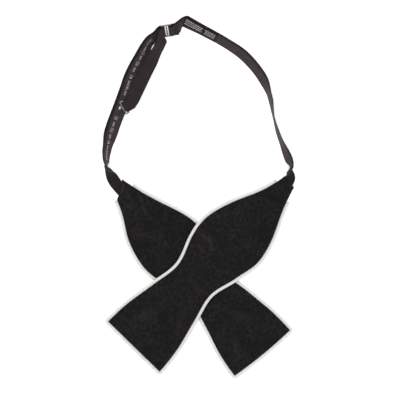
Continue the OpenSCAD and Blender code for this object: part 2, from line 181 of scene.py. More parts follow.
RIGHT_ROUTE = [
    (-0.0112, 0.1583, 0.0018, 36, 0), (0.0056, 0.1496, 0.0006, 47, 0), (0.0241, 0.1394, 0.0004, 50, 0),
    (0.042, 0.127, 0.0004, 46, 0), (0.0575, 0.1085, 0.0004, 50, 0), (0.065, 0.090, 0.0004, 74, 0),
    (0.0685, 0.071, 0.0004, 87, 0), (0.0735, 0.054, 0.0004, 78, 0), (0.0815, 0.035, 0.0004, 58, 0),
    (0.0832, 0.028, 0.0004, 66, 20), (0.0824, 0.0234, 0.0005, 112, 38), (*NECK_R[0], 0.00145, 180, 0),
    (*NECK_R[1], 0.00145, 180, 0),
]


# ---------- ribbon frames: centre, width direction, normal of the reverse side, half width ----------

def route_frames(route, side=1):
    q = refine(route)
    rows = []
    for i, (x, y, lift, roll, slant) in enumerate(q):
        a, b = q[max(i - 1, 0)], q[min(i + 1, len(q) - 1)]
        along = unit([b[0] - a[0], b[1] - a[1], 0])
        out = side * np.array([-along[1], along[0], 0])
        turn, lean = math.radians(roll), math.radians(slant)
        half = BAND_W / 2 - NECK_GATHER * max(0, -math.cos(turn))
        centre = [x, y, lift + half * abs(math.sin(turn)) * math.cos(lean) + BAND_T / 2]
        width = math.cos(turn) * out + math.sin(turn) * (math.sin(lean) * along + [0, 0, math.cos(lean)])
        rows.append([*centre, *width, *unit(np.cross(along, width)), half])
    return rows


def slide_frame(x, z, up, y=0.0, flatter=0.0, turn=0.0):
    """A frame beside the slide, which may lie flatter than the slide, or be turned in its plane, in degrees."""
    f, t = math.radians(flatter), math.radians(turn)
    wide = math.cos(f) * SLIDE_Y - math.sin(f) * SLIDE_Z
    out = math.cos(f) * SLIDE_Z + math.sin(f) * SLIDE_Y
    centre = SLIDE_AT + x * SLIDE_X + y * wide + z * out
    return [*centre, *(math.cos(t) * wide - math.sin(t) * SLIDE_X), *(up * out), SLIDE_HALF]


def lap_frame(t, layer, rise=0.0):
    """A frame of the right band's lap, t of the way along it, in its upper (1) or lower (-1) layer."""
    x = BAR_PITCH + LEG
    z = LAP + (LOOP_R - LAP) * (1 - ease(min(1.0, 2 * t)))
    return slide_frame(x + (END_X - x) * t, layer * z, -layer, rise * t, LAP_FLAT * t)


def hook_frame(x, z, up):
    return [*(HOOK_AT + x * HOOK_X + z * HOOK_Z), *HOOK_Y, *(up * HOOK_Z), HOOK_HALF]


def arc_frames(at, x, y, z, cx, r, start, stop, half):
    """Frames of a half turn round a bar."""
    rows = []
    for a in np.radians(np.linspace(start, stop, 7)):
        radial = math.cos(a) * x + math.sin(a) * z
        rows.append([*(at + cx * x + r * radial), *y, *-radial, half])
    return rows


def left_ribbon():
    leg = -BAR_PITCH - LEG
    return [
        *route_frames(LEFT_ROUTE),
        slide_frame(leg, -LOOP_R, 1),
        *arc_frames(SLIDE_AT, SLIDE_X, SLIDE_Y, SLIDE_Z, LOOP_SLACK - BAR_PITCH, LOOP_R, -90, 90, SLIDE_HALF),
        slide_frame(-BAR_PITCH - FOLD_PAST, LOOP_R + FOLD_RISE, -1, FOLD_SIDE, 0, FOLD_TURN),
        *route_frames(TAIL_ROUTE, -1),
        hook_frame(-0.0045, LAP, -1),
        hook_frame(-0.0015, HOOK_LOOP_R, -1),
        *arc_frames(HOOK_AT, HOOK_X, HOOK_Y, HOOK_Z, 0, HOOK_LOOP_R, 90, -90, HOOK_HALF),
        hook_frame(-0.0015, -HOOK_LOOP_R, 1),
        hook_frame(-0.0045, -LAP, 1),
        hook_frame(-0.0075, -LAP, 1),
    ]


def right_ribbon():
    return [
        *[lap_frame(k / LAP_STEPS, 1) for k in range(LAP_STEPS, -1, -1)],
        *arc_frames(SLIDE_AT, SLIDE_X, SLIDE_Y, SLIDE_Z, BAR_PITCH - LOOP_SLACK, LOOP_R, 90, 270, SLIDE_HALF),
        *[lap_frame(k / LAP_STEPS, -1, LAP_RISE) for k in range(LAP_STEPS + 1)],
        *route_frames(RIGHT_ROUTE),
    ]


class Strip:
    """A ribbon's middle surface: a smooth run through its frames, with the place of each frame along it."""

    def __init__(self, frames):
        self.knots = np.array(frames)
        self.h = np.linalg.norm(np.diff(self.knots[:, :3], axis=0), axis=1)
        self.at = np.concatenate([[0], np.cumsum(self.h)])
        d = np.diff(self.knots, axis=0) / self.h[:, None]
        before, after = self.h[:-1, None], self.h[1:, None]
        self.slope = np.vstack([d[:1], (d[:-1] * after + d[1:] * before) / (before + after), d[-1:]])
        self.length = self.at[-1]

    def place(self, number):
        """Place along the ribbon of a frame number, whole or not."""
        return float(np.interp(number, np.arange(len(self.at)), self.at))

    def sample(self, s):
        """Centres, width directions, normals and half widths at places s."""
        s = np.atleast_1d(s)
        i = np.clip(np.searchsorted(self.at, s, side="right") - 1, 0, len(self.h) - 1)
        h = self.h[i][:, None]
        t = ((s - self.at[i]) / self.h[i])[:, None]
        v = hermite(self.knots[i], self.knots[i + 1], self.slope[i], self.slope[i + 1], h, t)
        width = unit(v[:, 3:6])
        normal = v[:, 6:9]
        normal = unit(normal - np.sum(normal * width, axis=1, keepdims=True) * width)
        return v[:, :3], width, normal, v[:, 9]

    def lay(self, points, start):
        """Moves points (along, across, up) on to the ribbon's reverse side, from place start."""
        centre, width, normal, _ = self.sample(points[:, 0] + start)
        return centre + width * points[:, 1:2] + normal * points[:, 2:3]


# ---------- meshes ----------

def mottle(points, size, seed=0.0):
    """Smooth noise from -1 to 1 at each point, with lumps of about that size."""
    flat = points.reshape(-1, 3) / size + seed
    return np.array([noise.noise(Vector(p)) for p in flat]).reshape(points.shape[:-1])


def new_object(name, verts, faces, materials, body, uv=None, slots=None):
    """A smooth-shaded mesh object that rides on a body. uv has a row for each vertex; slots a number for each face."""
    me = bpy.data.meshes.new(name)
    me.from_pydata(np.asarray(verts).tolist(), [], faces)
    me.polygons.foreach_set("use_smooth", [True] * len(me.polygons))
    for m in materials:
        me.materials.append(m)
    if slots is not None:
        me.polygons.foreach_set("material_index", slots)
    if uv is not None:
        loops = np.empty(len(me.loops), int)
        me.loops.foreach_get("vertex_index", loops)
        layer = me.uv_layers.new(name="cloth")
        layer.data.foreach_set("uv", np.asarray(uv)[loops].ravel())
    me.update()
    ob = bpy.data.objects.new(name, me)
    bpy.context.scene.collection.objects.link(ob)
    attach(ob, body)
    return ob


def joined(parts):
    """Several (verts, faces) meshes as one."""
    verts, faces, n = [], [], 0
    for v, f in parts:
        verts.append(v)
        faces += [[i + n for i in face] for face in f]
        n += len(v)
    return np.vstack(verts), faces


def shell(middle, normal, thick, keep=None, round_share=0.8):
    """A closed sheet round a grid of middle points: two faces, and a rounded wall along every free edge.
    Returns verts, faces, a grid place for each vertex, and 0 for each face on the normal's side, 1 for the others."""
    m, n = middle.shape[:2]
    keep = np.ones((m - 1, n - 1), bool) if keep is None else keep
    thick = np.broadcast_to(thick, (m, n))[..., None]
    number = np.arange(m * n).reshape(m, n)
    i, j = np.nonzero(keep)
    quads = np.stack([number[i, j], number[i + 1, j], number[i + 1, j + 1], number[i, j + 1]], axis=1)
    edges = {(int(a), int(b)) for q in quads for a, b in zip(q, np.roll(q, -1))}
    free = sorted(e for e in edges if (e[1], e[0]) not in edges)
    flat_mid, flat_n = middle.reshape(-1, 3), normal.reshape(-1, 3)
    out = {}
    for a, b in free:
        side = np.cross(flat_mid[b] - flat_mid[a], flat_n[a])
        for v in (a, b):
            out[v] = out.get(v, 0) + unit(side)
    ring = {v: 2 * m * n + k for k, v in enumerate(sorted(out))}
    half = thick.reshape(-1, 1) / 2
    rim = [flat_mid[v] + unit(out[v]) * half[v] * round_share for v in sorted(out)]
    verts = np.vstack([flat_mid + flat_n * half, flat_mid - flat_n * half, rim])
    under = m * n
    faces = quads.tolist() + (quads[:, ::-1] + under).tolist()
    for a, b in free:
        faces.append([b, a, ring[a], ring[b]])
        faces.append([ring[b], ring[a], a + under, b + under])
    where = np.concatenate([np.arange(m * n), np.arange(m * n), sorted(out)]).astype(int)
    slots = [0] * len(quads) + [1] * (len(faces) - len(quads))
    return without_loose(verts, faces, where, slots)


def without_loose(verts, faces, where, slots):
    """The same mesh with no vertex that no face uses."""
    used = sorted({i for f in faces for i in f})
    new = {v: k for k, v in enumerate(used)}
    return verts[used], [[new[i] for i in f] for f in faces], where[used], slots


def tube(path, radius, segments=14, ripple=None):
    """A closed tube along a path. radius has one value for each point, and ripple one for each point and segment.
    Returns verts, faces and uv: the distance along, and the distance round it."""
    path = np.asarray(path)
    n = len(path)
    ahead = unit(np.gradient(path, axis=0))
    side = unit(np.cross([0, 0, 1.0], ahead))
    up = np.cross(ahead, side)
    a = np.linspace(0, 2 * math.pi, segments, endpoint=False)
    r = np.broadcast_to(np.asarray(radius).reshape(-1, 1), (n, segments)) + (0 if ripple is None else ripple)
    around = np.cos(a)[None, :, None] * side[:, None] + np.sin(a)[None, :, None] * up[:, None]
    rings = path[:, None] + r[..., None] * around
    verts = np.vstack([rings.reshape(-1, 3), path[:1], path[-1:]])
    faces = []
    for i in range(n - 1):
        for k in range(segments):
            p, q = i * segments + k, i * segments + (k + 1) % segments
            faces.append([p, p + segments, q + segments, q])
    for k in range(segments):
        faces.append([n * segments, k, (k + 1) % segments])
        faces.append([n * segments + 1, (n - 1) * segments + (k + 1) % segments, (n - 1) * segments + k])
    along = np.concatenate([[0], np.cumsum(np.linalg.norm(np.diff(path, axis=0), axis=1))])
    girth = np.abs(np.sin(a / 2)) * math.pi * np.mean(r)
    uv = np.stack([np.repeat(along, segments), np.tile(girth, n)], axis=1)
    return verts, faces, np.vstack([uv, [along[0], 0], [along[-1], 0]])


# ---------- materials ----------

def socket_or_value(tree, target, value):
    if isinstance(value, bpy.types.NodeSocket):
        tree.links.new(value, target)
    else:
        target.default_value = value


class Paint:
    """A material of one Principled shader, with short calls for the nodes that feed it."""

    def __init__(self, name, **values):
        self.material = bpy.data.materials.new(name)
        self.material.use_nodes = True
        self.tree = self.material.node_tree
        self.tree.nodes.clear()
        out = self.tree.nodes.new("ShaderNodeOutputMaterial")
        self.shader = self.tree.nodes.new("ShaderNodeBsdfPrincipled")
        self.tree.links.new(self.shader.outputs["BSDF"], out.inputs["Surface"])
        for key, value in values.items():
            self.shader.inputs[key.replace("_", " ")].default_value = value

    def node(self, kind, inputs=None, **settings):
        n = self.tree.nodes.new("ShaderNode" + kind)
        for key, value in settings.items():
            setattr(n, key, value)
        for key, value in (inputs or {}).items():
            socket_or_value(self.tree, n.inputs[key], value)
        return n

    def math(self, operation, a, b=0.0):
        return self.node("Math", {0: a, 1: b}, operation=operation).outputs[0]

    def ramp(self, value, low, high, to_low=0.0, to_high=1.0):
        """value from low..high to to_low..to_high, eased and clamped."""
        return self.node(
            "MapRange", {"Value": value, 1: low, 2: high, 3: to_low, 4: to_high}, interpolation_type="SMOOTHSTEP",
        ).outputs[0]

    def blend(self, share, a, b):
        """Colour a where share is 0 and b where it is 1."""
        return self.node("Mix", {0: share, 6: a, 7: b}, data_type="RGBA").outputs[2]

    def cloth_place(self):
        """Place on the cloth in millimetres: along, across."""
        uv = self.node("UVMap", uv_map="cloth").outputs["UV"]
        return self.node("VectorMath", {0: uv, 3: 1000.0}, operation="SCALE").outputs[0]

    def space(self):
        """Place in the object's own space, in millimetres."""
        place = self.node("TexCoord").outputs["Object"]
        return self.node("VectorMath", {0: place, 3: 1000.0}, operation="SCALE").outputs[0]

    def noise(self, place, size, detail=3.0, rough=0.55):
        """Noise from 0 to 1 with lumps of this size in millimetres."""
        n = self.node("TexNoise", {"Vector": place, "Scale": 1 / size, "Detail": detail, "Roughness": rough})
        return n.outputs["Fac"]

    def bricks(self, place, width, height, gap):
        """1 on the threads and 0 between them, for a weave of short floats."""
        n = self.node("TexBrick", {
            "Vector": place, "Scale": 1.0, "Mortar Size": gap, "Mortar Smooth": 1.0,
            "Brick Width": width, "Row Height": height,
        })
        return self.math("SUBTRACT", 1.0, n.outputs["Fac"])

    def ribs(self, place, pitch, direction="X", twist=0.0):
        """0 to 1 across ribs of this pitch in millimetres."""
        n = self.node("TexWave", {
            "Vector": place, "Scale": math.pi / 10 / pitch, "Distortion": twist, "Detail": 1.0, "Detail Scale": 2.0,
        }, bands_direction=direction)
        return n.outputs["Fac"]

    def set(self, key, value):
        socket_or_value(self.tree, self.shader.inputs[key], value)

    def relief(self, *layers):
        """Bump from (height 0 to 1, depth in millimetres) layers, coarse first."""
        normal = None
        for height, depth in layers:
            inputs = {"Height": height, "Distance": depth * MM, "Strength": 1.0}
            if normal is not None:
                inputs["Normal"] = normal
            normal = self.node("Bump", inputs).outputs["Normal"]
        self.set("Normal", normal)


def rgba(r, g, b):
    return (r, g, b, 1.0)


def barathea(name, dark, light, sheen):
    """Fine pebbled wool and silk cloth, near black, with a soft sheen, faint slubs and lint in its grain, and painted
    light and shade on its folds: lighter ridges, darker hollows.
    """
    p = Paint(name, Specular_IOR_Level=0.16, Sheen_Weight=sheen, Sheen_Roughness=0.45,
              Sheen_Tint=rgba(0.9, 0.82, 0.86))
    place = p.cloth_place()
    pebble = p.bricks(place, 0.9, 0.42, 0.12)
    slub = p.noise(place, 3.2, 4.0, 0.65)
    broad = p.noise(p.space(), 14, 3.0)
    tone = p.math("MULTIPLY", p.ramp(slub, 0.3, 0.72), p.ramp(pebble, 0.0, 1.0, 0.35, 1.0))
    tone = p.math("MULTIPLY", tone, p.ramp(broad, 0.3, 0.7, 0.25, 1.0))
    # painted light and shade: the cloth is painted lighter on its folds' ridges and darker in their hollows, from the
    # fold heights kept on the mesh
    wear_and_fold_shading = p.node("Attribute", attribute_name="wear_and_fold_shading").outputs["Fac"]
    tone = p.math("ADD", p.math("MULTIPLY", tone, p.ramp(wear_and_fold_shading, -0.8, 0.0)), p.ramp(wear_and_fold_shading, 0.1, 1.0, 0.0, 0.6))
    p.set("Base Color", p.blend(tone, rgba(*dark), rgba(*light)))
    p.set("Roughness", p.ramp(slub, 0.2, 0.8, 0.95, 0.72))
    p.relief((slub, 0.05), (pebble, 0.09))
    return p.material


def ribbon(name, field, edge, stripe, dark_below=-1000.0):
    """Woven band: crosswise ribs, and darker selvedges. stripe is how far in from the outer edge the dark runs. The
    band is also darker where its place up the whole tie is under dark_below, in millimetres."""
    p = Paint(name, Specular_IOR_Level=0.2, Sheen_Weight=0.12, Sheen_Roughness=0.5, Sheen_Tint=rgba(0.9, 0.8, 0.85))
    place = p.cloth_place()
    rib = p.ribs(place, 0.62, "X", 0.4)
    warp = p.ribs(place, 0.34, "Y")
    wear_and_fold_shading = p.noise(place, 5.0, 4.0, 0.6)
    fine = p.noise(place, 0.7, 2.0)
    across = p.node("SeparateXYZ", {0: place}).outputs["Y"]
    outer = p.ramp(across, 6.05 - stripe - 0.9, 6.05 - stripe + 0.5)
    inner = p.ramp(across, -4.7, -5.9)
    up = p.node("SeparateXYZ", {0: p.space()}).outputs["Y"]
    # the band is coloured darker low down, where its place up the tie is under dark_below
    low_darkening = p.ramp(up, dark_below - 6, dark_below + 8, 0.75, 0.0)
    dark_share = p.math("MAXIMUM", p.math("MAXIMUM", outer, p.math("MULTIPLY", inner, 0.8)), low_darkening)
    light = tuple(1.45 * c for c in field)
    woven = p.blend(p.math("MULTIPLY", p.ramp(wear_and_fold_shading, 0.25, 0.75), p.ramp(fine, 0.2, 0.8, 0.5, 1.0)),
                    rgba(*field), rgba(*light))
    p.set("Base Color", p.blend(dark_share, woven, rgba(*edge)))
    p.set("Roughness", p.ramp(wear_and_fold_shading, 0.2, 0.8, 0.9, 0.68))
    p.relief((wear_and_fold_shading, 0.06), (rib, 0.07), (warp, 0.03))
    return p.material


def satin(name):
    """Off-white bias satin over a cord: diagonal twill, small strains in the cloth, and painted shade, grey, in the
    seam's ditch where the piping meets the blade.
    """
    p = Paint(name, Specular_IOR_Level=0.42, Sheen_Weight=0.12, Sheen_Roughness=0.35)
    place = p.cloth_place()
    turned = p.node("VectorRotate", {"Vector": place, "Angle": math.radians(45)}, rotation_type="Z_AXIS").outputs[0]
    twill = p.ribs(turned, 0.3)
    strain = p.noise(turned, 1.4, 3.0)
    soil = p.noise(p.space(), 9.0, 4.0, 0.6)
    round_it = p.node("SeparateXYZ", {0: place}).outputs["Y"]
    # painted shade: the side of the piping that faces the blade is painted grey, as shade in the seam's ditch
    ditch = p.ramp(round_it, 0.2, 1.6, 1.0, 0.0)
    clean = p.blend(p.ramp(strain, 0.3, 0.75), rgba(0.68, 0.665, 0.64), rgba(0.80, 0.79, 0.77))
    soiled = p.blend(p.ramp(soil, 0.45, 0.8, 0.0, 0.4), clean, rgba(0.54, 0.52, 0.48))
    p.set("Base Color", p.blend(p.math("MULTIPLY", ditch, 0.35), soiled, rgba(0.34, 0.33, 0.31)))
    p.set("Roughness", p.ramp(strain, 0.2, 0.8, 0.34, 0.5))
    p.relief((strain, 0.07), (twill, 0.025))
    return p.material


def nickel(name):
    """Brushed nickel plate with a little tarnish."""
    p = Paint(name, Metallic=1.0)
    place = p.space()
    brushed = p.node("VectorMath", {0: place, 1: (1.0, 1.0, 6.0)}, operation="MULTIPLY").outputs[0]
    grain = p.noise(brushed, 0.25, 3.0)
    tarnish = p.noise(place, 2.2, 4.0, 0.6)
    dulled = p.ramp(tarnish, 0.4, 0.75, 0.0, 0.8)
    p.set("Base Color", p.blend(dulled, rgba(0.24, 0.235, 0.235), rgba(0.15, 0.145, 0.145)))
    p.set("Roughness", p.ramp(grain, 0.2, 0.8, 0.24, 0.42))
    p.relief((grain, 0.012))
    return p.material


def thread(name, dark, light):
    """Twisted sewing thread."""
    p = Paint(name, Specular_IOR_Level=0.3, Sheen_Weight=0.2)
    place = p.space()
    ply = p.ribs(place, 0.16, "DIAGONAL", 0.3)
    lint = p.noise(place, 1.1, 3.0)
    p.set("Base Color", p.blend(p.ramp(lint, 0.25, 0.75), rgba(*dark), rgba(*light)))
    p.set("Roughness", p.ramp(lint, 0.2, 0.8, 0.6, 0.8))
    p.relief((ply, 0.03))
    return p.material


def wool(name, dark, light):
    """Brushed wool interlining and loose cotton cord."""
    p = Paint(name, Specular_IOR_Level=0.2, Sheen_Weight=0.4)
    place = p.space()
    open_weave = p.math("MULTIPLY", p.ribs(place, 1.0, "X", 0.6), p.ribs(place, 1.0, "Y", 0.6))
    fuzz = p.noise(place, 0.8, 5.0, 0.7)
    p.set("Base Color", p.blend(p.ramp(fuzz, 0.25, 0.75), rgba(*dark), rgba(*light)))
    p.set("Roughness", p.ramp(fuzz, 0.2, 0.8, 0.85, 1.0))
    p.relief((open_weave, 0.12), (fuzz, 0.08))
    return p.material


def paper(name):
    """Matt white table top, lit softly from below."""
    p = Paint(name, Specular_IOR_Level=0.1, Emission_Color=rgba(1.0, 1.0, 1.0), Emission_Strength=0.4)
    place = p.space()
    fibre = p.noise(place, 1.5, 4.0, 0.6)
    cloud = p.noise(place, 160, 2.0)
    share = p.math("MULTIPLY", p.ramp(fibre, 0.2, 0.8), p.ramp(cloud, 0.2, 0.8, 0.5, 1.0))
    p.set("Base Color", p.blend(share, rgba(0.90, 0.90, 0.90), rgba(0.93, 0.93, 0.93)))
    p.set("Roughness", p.ramp(fibre, 0.2, 0.8, 0.9, 1.0))
    p.relief((fibre, 0.02))
    return p.material


FACE_CLOTH = barathea("barathea_face", (0.0036, 0.0030, 0.0033), (0.0200, 0.0172, 0.0184), 0.10)
LINING_CLOTH = barathea("barathea_lining", (0.0060, 0.0052, 0.0058), (0.0120, 0.0108, 0.0115), 0.12)
BAND_REVERSE = ribbon("band_reverse", (0.0315, 0.0218, 0.0248), (0.0045, 0.0045, 0.0045), 2.2)
BAND_FACE = ribbon("band_face", (0.0182, 0.0118, 0.0138), (0.0060, 0.0048, 0.0054), 0.2, 26)
SATIN = satin("satin_piping")
NICKEL = nickel("nickel_wire")
BLACK_THREAD = thread("black_thread", (0.006, 0.005, 0.006), (0.022, 0.018, 0.020))
MARK_THREAD = thread("mark_thread", (0.24, 0.205, 0.215), (0.46, 0.41, 0.425))
WOOL = wool("interlining_wool", (0.30, 0.28, 0.24), (0.52, 0.49, 0.43))
COTTON = wool("cotton_cord", (0.42, 0.40, 0.36), (0.66, 0.63, 0.57))
LABEL_GROUND = ribbon("label_ground", (0.0085, 0.0075, 0.0085), (0.0050, 0.0045, 0.0050), 0.1)
CARD = paper("white_card")


# ---------- blades ----------

class Blade:
    """One blade: its outline on the flat, and how it lies. Cloth places are (along, across) on the flat."""

    def __init__(self, key, body, ref, direction, sway, length, skew, bow, drape, neck, piping_start):
        self.key, self.body, self.ref, self.dir, self.sway = key, body, ref, direction, sway
        self.length, self.skew, self.bow, self.drape = length, skew, bow, drape
        self.neck, self.piping_start = neck, piping_start

    def start(self, q):
        """Place where the cloth starts, at q from -1 to 1 across it."""
        plus, minus = self.neck
        return (plus + minus) / 2 + q * (plus - minus) / 2

    def end(self, q):
        """Place where the cloth ends, at q from -1 to 1 across it."""
        return self.length + self.skew * q + self.bow * (1 - q**2)

    def base(self, s):
        """Height of the blade's underside."""
        return value_at(DRAPE, s) if self.drape else np.zeros_like(s)

    def world(self, s, lat, z):
        """Points in the frame: z is above the blade's own underside."""
        xy = blade_xy(self.ref, self.dir, self.sway, s, lat)
        return np.concatenate([xy, (self.base(s) + z)[..., None]], axis=-1)

    def grid(self, rows=132, cols=47):
        """Places of the cloth's grid, closer together at its edges, and the distance to the nearest edge."""
        t = np.linspace(-1, 1, cols)
        q = t * (1.35 - 0.35 * t**2)
        r = np.concatenate([np.linspace(0, 0.985, rows - 8), np.linspace(0.985, 1, 9)[1:]])
        r, q = np.meshgrid(r, q, indexing="ij")
        start, end = self.start(q), self.end(q)
        s = start + (end - start) * r
        half = value_at(PROFILE, s)
        edge = np.minimum(half * (1 - np.abs(q)), end - s)
        return s, q * half, q, edge

    def side_free(self, s, q):
        """1 where the cloth's side edge has no piping beside it, at the neck, and 0 further along."""
        start = np.where(q > 0, self.piping_start[0], self.piping_start[1])
        return ease(np.clip((start + 0.004 - s) / 0.006, 0, 1))


OVER = Blade("over", RIGHT, OVER_REF, OVER_DIR, OVER_SWAY, OVER_LENGTH, OVER_SKEW, 0, True, OVER_NECK,
             (0.010, 0.003))
UNDER = Blade("under", LEFT, UNDER_REF, UNDER_DIR, UNDER_SWAY, UNDER_LENGTH, UNDER_SKEW, UNDER_BOW, False, UNDER_NECK,
              (0.007, 0.007))

# soft folds in each blade's face: place along, place across, direction in degrees, half length, half width, height
FOLDS = {
    "over": [
        (0.0165, -0.002, 103, 0.007, 0.0022, -0.0008), (0.022, -0.001, 100, 0.008, 0.0020, 0.0006),
        (0.030, 0.008, 28, 0.012, 0.0030, 0.0004), (0.046, 0.012, 28, 0.016, 0.0040, -0.0004),
        (0.0842, -0.0195, 98, 0.009, 0.0018, 0.0009), (0.0862, -0.009, 58, 0.008, 0.0018, 0.0009),
        (0.077, -0.016, 95, 0.012, 0.0035, -0.0005), (0.122, 0.004, 80, 0.014, 0.0034, 0.0006),
        (0.150, 0.013, 20, 0.020, 0.0050, 0.0005), (0.172, -0.012, -24, 0.020, 0.0060, 0.0005),
    ],
    "under": [
        (0.012, 0.001, -8, 0.014, 0.0016, 0.0007), (0.018, -0.005, 12, 0.013, 0.0018, 0.0006),
        (0.026, 0.006, -20, 0.014, 0.0022, 0.0006), (0.044, -0.012, 30, 0.018, 0.0040, 0.0005),
        (0.060, 0.010, -40, 0.016, 0.0050, -0.0004), (0.160, 0.006, 34, 0.020, 0.0060, 0.0006),
        (0.176, -0.014, -30, 0.016, 0.0045, 0.0005),
    ],
}


def fold_height(key, s, lat):
    total = np.zeros_like(s)
    for s0, lat0, turn, reach, width, height in FOLDS[key]:
        a = math.radians(turn)
        along = (s - s0) * math.cos(a) + (lat - lat0) * math.sin(a)
        aside = (lat - lat0) * math.cos(a) - (s - s0) * math.sin(a)
        aside = aside - 0.12 * along**2 / reach
        total += height * np.exp(-((along / reach) ** 2) - (aside / width) ** 2)
    return total


def settled(blade, s, lat, edge):
    """How far the face cloth lifts off its interlining: a cloth simulation of the sheet on the flat, held at its
    seams and cut 1.6 % full, with its result kept as heights. The sheet is simulated ten times larger."""
    grow = 10.0
    start = 0.00035 * mottle(np.stack([s, lat, np.zeros_like(s)], axis=-1), 0.012, 3.1 if blade.drape else 7.7)
    m, n = s.shape
    number = np.arange(m * n).reshape(m, n)
    faces = np.stack([number[:-1, :-1], number[1:, :-1], number[1:, 1:], number[:-1, 1:]], axis=-1).reshape(-1, 4)
    verts = np.stack([s, lat, start * np.clip(edge / 0.004, 0, 1)], axis=-1).reshape(-1, 3) * grow
    me = bpy.data.meshes.new("cloth_test")
    me.from_pydata(verts.tolist(), [], faces.tolist())
    ob = bpy.data.objects.new("cloth_test", me)
    bpy.context.scene.collection.objects.link(ob)
    held = ob.vertex_groups.new(name="held")
    held.add([int(v) for v in number[edge < 0.0012]], 1.0, "REPLACE")
    held.add([int(v) for v in number[0]], 1.0, "REPLACE")
    cloth = ob.modifiers.new("cloth", "CLOTH")
    c = cloth.settings
    c.vertex_group_mass = "held"
    c.quality, c.mass, c.air_damping = 6, 0.2, 3.0
    c.tension_stiffness = c.compression_stiffness = 18
    c.shear_stiffness, c.bending_stiffness = 8, 0.9
    c.shrink_min = -0.016
    c.effector_weights.gravity = 1.0
    cloth.point_cache.frame_start, cloth.point_cache.frame_end = 1, 24
    scene = bpy.context.scene
    gravity = scene.gravity[:]
    scene.gravity = (0, 0, 0.6)
    for f in range(1, 25):
        scene.frame_set(f)
    moved = ob.evaluated_get(bpy.context.evaluated_depsgraph_get()).to_mesh()
    co = np.empty(m * n * 3, np.float32)
    moved.vertices.foreach_get("co", co)
    height = co.reshape(m, n, 3)[..., 2] / grow
    scene.gravity = gravity
    scene.frame_set(1)
    bpy.data.objects.remove(ob)
    bpy.data.meshes.remove(me)
    print(f"{blade.key} face cloth: simulated lift {height.min() / MM:.2f} to {height.max() / MM:.2f} mm")
    lift_limit = 0.0009
    return lift_limit * np.tanh(np.maximum(height, 0) / lift_limit)


def grid_normals(points):
    """Unit normals of a grid of points, on the upper side."""
    n = np.cross(np.gradient(points, axis=0), np.gradient(points, axis=1))
    n *= np.sign(n[..., 2:3])
    return unit(n)


def cloth_panel(name, blade, height, material, thick, lift=0.0):
    """One cloth of a blade from the height of its middle surface. Returns the piece and the cut's flat area."""
    s, lat, q, edge = blade.grid()
    points = blade.world(s, lat, height(s, lat, q, edge, lift))
    verts, faces, where, _ = shell(points, grid_normals(points), thick)
    flat = np.stack([s.ravel(), lat.ravel()], axis=1)[where]
    piece = new_object(name, verts, faces, [material], blade.body, flat)
    smooth = piece.modifiers.new("smooth", "SUBSURF")
    smooth.levels = smooth.render_levels = 1
    # fold heights kept on the mesh for the cloth's painted light and shade: lighter on ridges, darker in hollows
    wear_and_fold_shading = np.clip(fold_height(blade.key, s, lat) / 0.001, -1, 1).ravel()[where]
    piece.data.attributes.new("wear_and_fold_shading", "FLOAT", "POINT").data.foreach_set("value", wear_and_fold_shading.astype(np.float32))
    side = np.diff(s, axis=0)[:, :-1] + np.diff(s, axis=0)[:, 1:]
    across = np.diff(lat, axis=1)[:-1] + np.diff(lat, axis=1)[1:]
    return piece, float(np.sum(side * across) / 4)


def face_height(blade):
    """Height of the face cloth's middle over its blade's underside, at any place on the flat."""

    def height(s, lat, q, edge, lift=0.0):
        free = blade.side_free(s, q)
        inside = ease(np.clip(edge / 0.007, 0, 1))
        crown = 0.0005 * inside * (1 - 0.5 * q**2)
        slack = 0.00022 * mottle(np.stack([s, lat, np.zeros_like(s)], axis=-1), 0.017, 11.0) * inside
        seam = (0.0005 + 0.00045 * free) * np.exp(-((edge / 0.0009) ** 2))
        neck = 0.00022 * np.exp(-(((s - blade.start(q)) / 0.0014) ** 2))
        folds = fold_height(blade.key, s, lat) * inside
        total = 0.001775 + crown + slack + lift * inside + np.maximum(folds, -0.0004) - seam - neck
        return np.minimum(total, 0.0026) if not blade.drape else total

    return height


def lining_height(blade):
    """Height of the lining's middle, which lies flat and rises to the seam."""

    def height(s, lat, q, edge, lift=0.0):
        free = blade.side_free(s, q)
        rise = (0.00065 - 0.0002 * free) * np.exp(-((edge / 0.0010) ** 2))
        slack = 0.00008 * (1 + mottle(np.stack([s, lat, np.zeros_like(s)], axis=-1), 0.014, 5.0))
        return CLOTH_T / 2 + rise + slack * ease(np.clip(edge / 0.004, 0, 1)) * (s > 0.012)

    return height


def piping_path(blade):
    """The piping's centre line on the flat, as (along, across) points, from one side of the neck to the other."""
    start_plus, start_minus = blade.piping_start
    end, skew = blade.length, blade.skew

    def beside(s, side):
        d = (value_at(PROFILE, s + 0.0005) - value_at(PROFILE, s - 0.0005)) / 0.001
        n = unit(np.stack([-d, np.ones_like(d)], axis=-1))
        return np.stack([s + n[:, 0] * PIPING_OFF, side * (value_at(PROFILE, s) + n[:, 1] * PIPING_OFF)], axis=-1)

    def corner(s, side):
        a = np.radians(np.linspace(80, 10, 8))[::1 if side > 0 else -1] * side
        centre = np.array([s, side * value_at(PROFILE, np.array(s))])
        return centre + PIPING_OFF * np.stack([np.cos(a), np.sin(a)], axis=-1)

    k = np.linspace(0.75, -0.75, 24)
    straight = np.stack([blade.end(k) + PIPING_OFF, END_HALF * k], axis=-1)
    parts = [
        beside(np.linspace(start_plus, end + skew - 0.0015, 150), 1), corner(end + skew, 1), straight,
        corner(end - skew, -1), beside(np.linspace(end - skew - 0.0015, start_minus, 150), -1),
    ]
    path = np.vstack(parts)
    along = np.concatenate([[0], np.cumsum(np.linalg.norm(np.diff(path, axis=0), axis=1))])
    even = np.linspace(0, along[-1], int(along[-1] / 0.0008))
    path = np.stack([np.interp(even, along, path[:, i]) for i in (0, 1)], axis=-1)
    for _ in range(2):
        path[1:-1] = (path[:-2] + 2 * path[1:-1] + path[2:]) / 4
    return path, even


